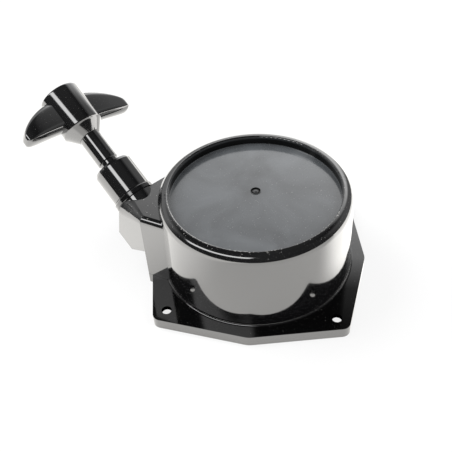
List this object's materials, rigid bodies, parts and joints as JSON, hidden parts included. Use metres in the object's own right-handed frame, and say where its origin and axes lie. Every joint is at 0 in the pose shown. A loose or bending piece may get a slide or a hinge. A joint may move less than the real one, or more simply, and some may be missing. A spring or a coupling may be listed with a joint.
{
  "type": "recoil starter",
  "caption": "Pull-rope recoil starter for a small engine: round drum housing on a bolt-down flange, angled rope outlet and T-bar pull handle.",
  "frame": {"origin": "on the reel's axis, in the plane of the flange's underside", "axes": "+Z along the reel's axis towards the closed end of the drum; the four bolt holes lie at 45 degrees to +X and +Y; the rope leaves towards -X, +Y and up"},
  "size_m": [0.2349, 0.162, 0.112],
  "materials": {
    "housing_plastic": "glossy moulded black",
    "handle_plastic": "glossy moulded black",
    "ferrule_plastic": "high-gloss black",
    "ring_plastic": "glossy black",
    "reel_nylon": "satin natural nylon",
    "plated_steel": "bright zinc plate",
    "case_steel": "pressed sheet, zinc plate",
    "spring_steel": "blued spring steel",
    "eyelet_steel": "polished",
    "pawl_steel": "hardened, oiled",
    "plate_steel": "pressed, zinc plate",
    "rope_fibre": "braided polyester"
  },
  "bodies": {
    "housing": {"housing": "housing_plastic", "centre_post": "plated_steel", "spring_case": "case_steel", "spring_cover": "case_steel", "recoil_spring": "spring_steel", "rope_eyelet": "eyelet_steel", "outlet_ring": "ring_plastic", "outlet_ferrule": "ferrule_plastic", "plate_washer": "plated_steel", "centre_bolt": "plated_steel", "rope_lead": "rope_fibre"},
    "reel": {"reel": "reel_nylon", "rope_coil": "rope_fibre", "reel_knot": "rope_fibre", "pawl_pin_1": "plated_steel", "pawl_pin_2": "plated_steel", "friction_spring": "spring_steel"},
    "pawl_1": {"pawl_1": "pawl_steel"},
    "pawl_2": {"pawl_2": "pawl_steel"},
    "friction_plate": {"friction_plate": "plate_steel"},
    "handle": {"handle_grip": "handle_plastic", "handle_cap": "handle_plastic", "handle_stem": "handle_plastic", "handle_neck": "ring_plastic", "handle_rope": "rope_fibre", "handle_knot": "rope_fibre", "rope_retainer": "plated_steel"}
  },
  "joints": [
    {"name": "reel_spin", "type": "hinge", "parent": "housing", "child": "reel", "pos_m": [0, 0, 0], "axis": [0, 0, -1], "range_deg": [0, 1105], "stiffness_Nm_per_rad": 0.02, "springref_deg": -1145.92, "deforming": ["recoil_spring"]},
    {"name": "plate_turn", "type": "hinge", "parent": "reel", "child": "friction_plate", "pos_m": [0, 0, 0.017], "axis": [0, 0, 1], "range_deg": [0, 30]},
    {"name": "pawl_1_swing", "type": "hinge", "parent": "reel", "child": "pawl_1", "pos_m": [0.03, 0, 0.0235], "axis": [0, 0, 1], "range_deg": [0, 25.01]},
    {"name": "pawl_2_swing", "type": "hinge", "parent": "reel", "child": "pawl_2", "pos_m": [-0.03, 0, 0.0235], "axis": [0, 0, 1], "range_deg": [0, 25.01]},
    {"name": "handle_pull", "type": "slide", "parent": "housing", "child": "handle", "axis": [-0.6436, 0.5795, 0.5], "range_m": [0, 0.905], "deforming": ["rope_lead"]}
  ],
  "couplings": [
    {"joint": "handle_pull", "follows": "reel_spin", "m_per_rad": 0.0467},
    {"joint": "pawl_1_swing", "follows": "plate_turn", "ratio": 0.8333},
    {"joint": "pawl_2_swing", "follows": "plate_turn", "ratio": 0.8333}
  ]
}
